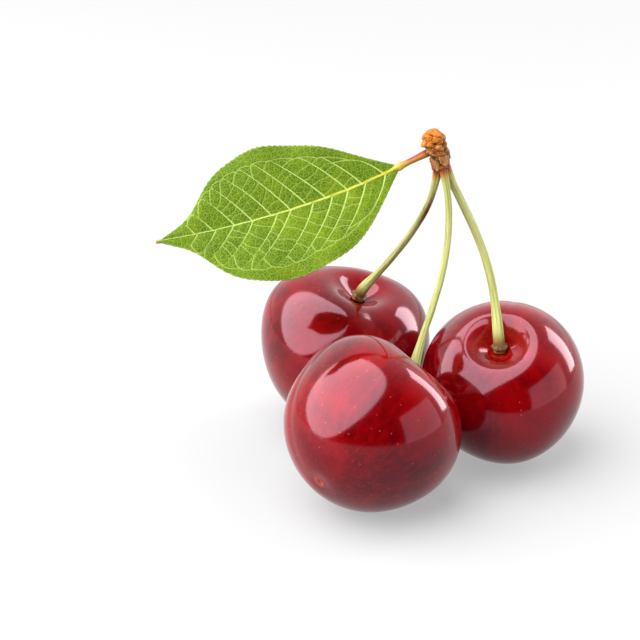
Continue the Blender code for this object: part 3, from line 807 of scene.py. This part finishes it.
def leafSpine(distance):
    # an arc whose slope runs evenly from the root's droop to the tip's, with a sag that grows as
    # the square of the share; returns points and the tangent, across and normal directions
    f = leaf
    along, forward = compass(f["heading"]), compass(f["heading"] + 90.0)
    facing = math.radians(f["facing"])
    normal = forward * math.cos(facing) + up * math.sin(facing)
    slopeUp = up * math.cos(facing) - forward * math.sin(facing)
    first, last = math.radians(f["droopAtRoot"]), math.radians(f["droopAtTip"])
    total = f["petioleLength"] + f["length"]
    leave = along * math.cos(first) - slopeUp * math.sin(first)
    slant = math.acos(leave @ spurTurn @ compass(f["rootAzimuth"]))
    rootGap = f["gap"] + f["petioleRadius"] * math.sin(slant)
    root = onSpur(f["rootAzimuth"], f["rootRadius"] + rootGap, f["rootLevel"])
    rate = (last - first) / total
    droop = (first + rate * distance)[:, None]
    points = (root + along * (np.sin(droop) - math.sin(first)) / rate
              + slopeUp * (np.cos(droop) - math.cos(first)) / rate)
    share = np.clip(distance / total, 0.0, 1.0)[:, None]
    points = points - normal * f["sag"] * share ** 2
    points = points + slopeUp * (f["lift"] * bell(distance, f["liftReach"]))[:, None]
    tangent = along * np.cos(droop) - slopeUp * np.sin(droop)
    across = slopeUp * np.cos(droop) + along * np.sin(droop)
    return points, tangent, across, normal


def bladeHalfWidth(share, side=0.0):
    # sine of the share, broader past the middle and drawn out at the tip; side is -1 below, 1 above
    f = leaf
    share = np.clip(share, 0.0, 1.0)
    width = f["halfWidth"] * np.sin(np.pi * share) * (1.0 + f["fullness"] * (share - 0.5))
    width = width * (1.0 - f["tipTaper"] * share ** 12)
    width = width * (1.0 - f["tipHollow"] * bell(share - f["hollowAt"], f["hollowWidth"]))
    fuller = np.where(np.asarray(side) < 0, 0.16 * bell(share - 0.18, 0.2),
                      0.08 * bell(share - 0.16, 0.12))
    return width * (1.0 + fuller)


def toothed(share, side):
    # forward-pointing teeth: each rises as the power 1.4 of its share, then drops in its last fifth
    f = leaf
    phase = (share * f["teeth"] + 0.37 * side + 0.25 * np.sin(share * 31.0 + side)) % 1.0
    tooth = np.where(phase < 0.8, (phase / 0.8) ** 1.4, (1.0 - phase) / 0.2)
    return f["toothDepth"] * tooth * np.sin(np.pi * np.clip(share, 0.0, 1.0)) ** 0.5


def veinLines(side):
    # side veins: each is a curve of the second degree from the midrib to a share of the half width,
    # steep at first and leaning forward at its end; an arch joins each end to the next vein, a finer
    # chain runs outside the arches, and thin rungs cross between neighbours
    v, length = veins, leaf["length"]
    rng = np.random.default_rng(v["seed"] + (side > 0))
    count = v["count"]
    order = np.arange(count)
    t = np.linspace(0.0, 1.0, v["steps"] + 1)
    starts = length * (v["firstStart"] + (v["lastStart"] - v["firstStart"]) * order / (count - 1))
    starts = starts + rng.uniform(-0.5, 0.5, count) + (0.5 if side > 0 else 0.0)
    slope = (v["slopeAbove"] if side > 0 else v["slopeBelow"]) + rng.uniform(-0.06, 0.06, count)
    share = v["reach"] + rng.uniform(-0.03, 0.03, count)
    reach = share * bladeHalfWidth(starts / length, side)
    for _ in range(12):
        reach = share * bladeHalfWidth((starts + slope * reach) / length, side)
    reach = np.minimum(reach, 1.5 + 1.5 * starts)
    parts = []

    def curve(first, over, last, width, main=0.0):
        # (1 - t) squared times the first point, 2 t (1 - t) the middle one and t squared the last
        a, b, c = (1 - t[:, None]) ** 2, 2 * (t * (1 - t))[:, None], t[:, None] ** 2
        line = first[:, None] * a + over[:, None] * b + last[:, None] * c
        tail = line[:, 1:].reshape(-1, 2)
        parts.append((line[:, :-1].reshape(-1, 2), tail,
                      np.broadcast_to(width, line.shape[:2])[:, 1:].ravel(), np.full(len(tail), main)))
        return line

    bow = rng.uniform(0.30, 0.38, count) * slope
    root, over = np.stack([starts, 0 * starts], -1), np.stack([starts + bow * reach, 0.5 * reach], -1)
    end = np.stack([starts + slope * reach, reach], -1)
    taper = v["halfWidth"] * (1.0 - 0.6 * t) * (1.0 - 0.3 * starts[:, None] / length)
    lines = curve(root, over, end, taper, 1.0)
    here, ahead = order[:-1], order[1:]
    way = end - over
    way = way / np.linalg.norm(way, axis=1, keepdims=True)
    hit = lines[ahead, rng.integers(31, 36, count - 1)]
    span = np.linalg.norm(hit - end[here], axis=1, keepdims=True)
    arches = curve(end[here], end[here] + way[here] * span * (0.5, 0.35), hit, v["archWidth"])
    apex = arches[:, 18]
    curve(apex[:-1], 0.5 * (apex[:-1] + apex[1:]) + (0.3, 0.8), apex[1:], v["chainWidth"])
    broad = (reach[ahead] > 4.0) & (here > 0)
    for place in v["rungs"]:
        near = np.clip(place + rng.uniform(-0.06, 0.06, count - 1), 0, 1) * v["steps"]
        far = np.clip(place - v["rungLean"] + rng.uniform(-0.06, 0.06, count - 1), 0, 1) * v["steps"]
        a, b = lines[here, near.astype(int)], lines[ahead, far.astype(int)]
        bend = rng.uniform(-0.7, 0.7, (count - 1, 2))
        curve(a[broad], (0.5 * (a + b) + bend)[broad], b[broad], v["rungWidth"])
    return [np.concatenate(part) for part in zip(*parts)]


def veinDistance(s, x):
    # how far each point is from the nearest vein, in its half widths, from the nearest side vein in
    # the same, and from that in millimetres, worked out a slice of veins at a time
    found = np.full((3, *s.shape), 9.0)
    for side in (-1, 1):
        heads, tails, widths, mains = veinLines(side)
        chosen = np.where(x * side >= 0)
        p = np.stack([s[chosen], np.abs(x[chosen])], -1)
        best = np.full((3, len(p)), 9.0)
        for cut in range(0, len(heads), 64):
            a, b, w = heads[cut:cut + 64], tails[cut:cut + 64], widths[cut:cut + 64]
            line = b - a
            share = ((p[:, None] - a) * line).sum(-1) / np.maximum((line ** 2).sum(-1), 1e-9)
            foot = a + np.clip(share, 0.0, 1.0)[..., None] * line
            away = np.linalg.norm(p[:, None] - foot, axis=-1)
            lesser = 9.0 * (1 - mains[cut:cut + 64])
            here = [away / w, away / w + lesser, away + lesser]
            best = np.minimum(best, [far.min(axis=1) for far in here])
        found[:, chosen[0], chosen[1]] = best
    return found


def makeBlade():
    # across the spine: a toothed width each side, folded up from the midrib, waved along the margin
    # and quilted between the veins; the upper face goes across and the under face comes back
    f = leaf
    share = np.linspace(0.0, 0.9985, f["rows"])
    spine, _, across, normal = leafSpine(f["petioleLength"] - 0.4 + (f["length"] + 0.4) * share)
    top = np.linspace(-1, 1, f["topCols"])
    under = np.linspace(1, -1, f["underCols"] + 2)[1:-1]
    q = np.concatenate([top, under])[None, :]
    above = np.concatenate([np.ones(len(top)), -np.ones(len(under))])[None, :]
    s = share[:, None] + 0 * q
    side = np.sign(q) + 0 * s
    width = np.maximum(bladeHalfWidth(s, side), 0.3) + toothed(s, side)
    x = q * width
    rib = eased(f["ribRadius"], 0.12, s)
    toVein, toSide, toMain = veinDistance(s * f["length"], x)
    toRib = np.abs(x) / np.where(above > 0, eased(f["ribShown"], 0.09, s), 0.9 * rib)
    margin = np.abs(q) ** 3
    z = np.abs(x) * math.tan(math.radians(f["fold"]))
    z = z + f["wave"] * margin * np.sin(s * 24.0 + 1.6 * side) * np.sin(np.pi * s)
    z = z - 0.9 * np.where(side > 0, 1.0, 0.25) * np.abs(q) ** 4 * bell(s - 0.62, 0.3)
    z = z + f["quilt"] * (1 - bell(toMain, 1.1)) * (1 - margin)
    z = z - f["veinSink"] * bell(toVein, 1.3) * (1 - margin)
    thick = 0.5 * (f["edgeThickness"] + (f["thickness"] - f["edgeThickness"]) * (1 - np.abs(q) ** 6))
    ridge = np.where(above > 0, 0.07 * bell(toRib, 0.8), rib * np.sqrt(np.clip(1 - toRib ** 2, 0, 1)))
    ridge = ridge + np.where(above > 0, 0.0, 0.12 * bell(toVein, 1.2) * (1 - margin))
    z = z + above * (thick + ridge)
    grid = spine[:, None] + across[:, None] * x[..., None] + normal * z[..., None]
    margin = (1 - np.abs(q)) * width
    marks = {"blade": np.stack([s * f["length"], x, 0 * x + above], -1), "toVein": toVein,
             "toSide": toSide, "toRib": toRib, "toEdge": margin, "share": s, "above": above}
    piece = ringMesh("leaf_blade", grid, marks)
    finishPiece(piece, leafMaterial(), "leaf", "leaf")


def leafMaterial():
    material, tree, shader = newMaterial("leafGreen", (0.06, 0.1, 0.005), 0.45, Specular_IOR_Level=0.06)
    blade = mark(tree, "blade", "Vector")
    toVein = mark(tree, "toVein")
    toRib = mark(tree, "toRib")
    toEdge = mark(tree, "toEdge")
    share = mark(tree, "share")
    below = between(tree, mark(tree, "above"), 0.5, -0.5)
    patches = useGroup(tree, mottleGroup, Vector=blade, Scale=0.16, Fine_Share=0.35)
    colour = ramp(tree, patches, [(0.0, (0.026, 0.06, 0.0)), (0.5, (0.038, 0.076, 0.0)),
                                  (1.0, (0.065, 0.105, 0.0))])
    bent = addNode(tree, "TexNoise", Vector=blade, Scale=0.9, Detail=2.0)
    warped = addNode(tree, "VectorMath", {"operation": "MULTIPLY_ADD"})
    feed(tree, warped.inputs[0], bent.outputs["Color"])
    feed(tree, warped.inputs[1], (0.5, 0.5, 0.0))
    feed(tree, warped.inputs[2], blade)
    cells = addNode(tree, "TexVoronoi", {"feature": "DISTANCE_TO_EDGE", "voronoi_dimensions": "2D"},
                    Vector=warped.outputs[0], Scale=0.95).outputs["Distance"]
    fine = addNode(tree, "TexVoronoi", {"feature": "DISTANCE_TO_EDGE", "voronoi_dimensions": "2D"},
                   Vector=warped.outputs[0], Scale=2.1).outputs["Distance"]
    net = between(tree, cells, 0.085, 0.02)
    fineNet = between(tree, fine, 0.15, 0.03)
    colour = tint(tree, colour, mult(tree, fineNet, 0.6), 0.11, 0.165, 0.004)
    colour = tint(tree, colour, mult(tree, net, 0.4), 0.15, 0.21, 0.015)
    vein = calc(tree, "MAXIMUM", between(tree, toVein, 1.35, 0.5, 0.0, 0.42),
                between(tree, mark(tree, "toSide"), 1.5, 0.5, 0.0, 0.88))
    colour = tint(tree, colour, vein, 0.25, 0.32, 0.085)
    ribColour = ramp(tree, share, [(0.0, (0.32, 0.24, 0.02)), (0.2, (0.28, 0.29, 0.035)),
                                   (0.6, (0.26, 0.32, 0.08)), (1.0, (0.2, 0.26, 0.06))])
    rib = between(tree, toRib, 1.0, 0.55)
    colour = blendColour(tree, rib, colour, ribColour)
    rim = between(tree, toEdge, 0.32, 0.05)
    colour = tint(tree, colour, mult(tree, rim, 0.45), 0.20, 0.25, 0.05)
    tip = between(tree, share, 0.985, 0.998)
    colour = tint(tree, colour, tip, 0.30, 0.17, 0.012)
    pale = blendColour(tree, 0.55, colour, rgb(0.16, 0.21, 0.08))
    colour = blendColour(tree, below, colour, pale)
    rough = plus(tree, 0.36, mult(tree, patches, 0.14))
    paint(tree, shader, colour, plus(tree, rough, mult(tree, below, 0.2)))
    lifted = plus(tree, mult(tree, fineNet, -0.5), mult(tree, net, -0.5))
    lifted = plus(tree, lifted, mult(tree, noise(tree, blade, 3.0), 0.5))
    addBump(tree, shader, lifted, 0.55, 0.1 * mm)
    return material


def makePetiole():
    # a tube along the spine's first stretch, grooved on top, with two small glands by the blade
    f = leaf
    distance = np.linspace(-0.75, f["petioleLength"] + 1.4, 120)
    spine, _, across, normal = leafSpine(distance)
    around = turns(48)
    along = distance[:, None]
    radius = f["petioleRadius"] * (1.0 + 0.1 * bell(along, 0.8) - 0.16 * bell(along - 3.0, 1.5))
    radius = radius * eased(1.0, 0.62, (along - f["petioleLength"]) / 1.4) + 0 * around
    groove = bell(wrapped(around - 0.5 * np.pi), 0.45)
    radius = radius - 0.1 * groove * eased(1.0, 0.3, along / f["petioleLength"])
    for turn, place in ((0.2, 4.75), (2.95, 5.05)):
        apart = np.hypot(wrapped(around - turn) * 0.5, along - place)
        radius = radius + 0.18 * bell(apart, 0.3)
    local = ringPoints(1.0, around, along)
    radius = radius + 0.015 * ripples(local, 1.2, 5, 31)
    grid = (spine[:, None] + across[:, None] * (radius * np.cos(around))[..., None]
            + normal * (radius * np.sin(around))[..., None])
    marks = {"grain": local, "upper": np.cos(around), "along": along}
    piece = ringMesh("petiole_skin", grid, marks, (spine[0], spine[-1]))
    finishPiece(piece, petioleMaterial(), "leaf", "leaf")


def petioleMaterial():
    material, tree, shader = newMaterial("petioleRed", (0.3, 0.1, 0.04), 0.4, Specular_IOR_Level=0.25)
    grain = mark(tree, "grain", "Vector")
    along = mark(tree, "along")
    fibres = noise(tree, stretched(tree, grain, (2.0, 2.0, 0.2)), 1.5, 3.0, 0.6)
    upper = plus(tree, mark(tree, "upper"),
                 mult(tree, calc(tree, "SUBTRACT", fibres, 0.5), 0.9))
    colour = ramp(tree, between(tree, upper, -0.9, 1.0), [
        (0.0, (0.27, 0.12, 0.012)), (0.35, (0.27, 0.085, 0.012)), (0.62, (0.19, 0.035, 0.012)),
        (0.99, (0.14, 0.016, 0.01))])
    yellow = ramp(tree, fibres, [(0.35, (0.28, 0.19, 0.015)), (0.65, (0.35, 0.28, 0.035))])
    colour = blendColour(tree, between(tree, along, 2.6, 5.6, 0.0, 0.95), colour, yellow)
    colour = tint(tree, colour, between(tree, along, 0.7, -0.1, 0.0, 0.8), 0.07, 0.005, 0.003)
    paint(tree, shader, colour, plus(tree, 0.3, mult(tree, fibres, 0.2)))
    addBump(tree, shader, fibres, 0.5, 0.08 * mm)
    return material


makePetiole()
makeBlade()

print("finished")
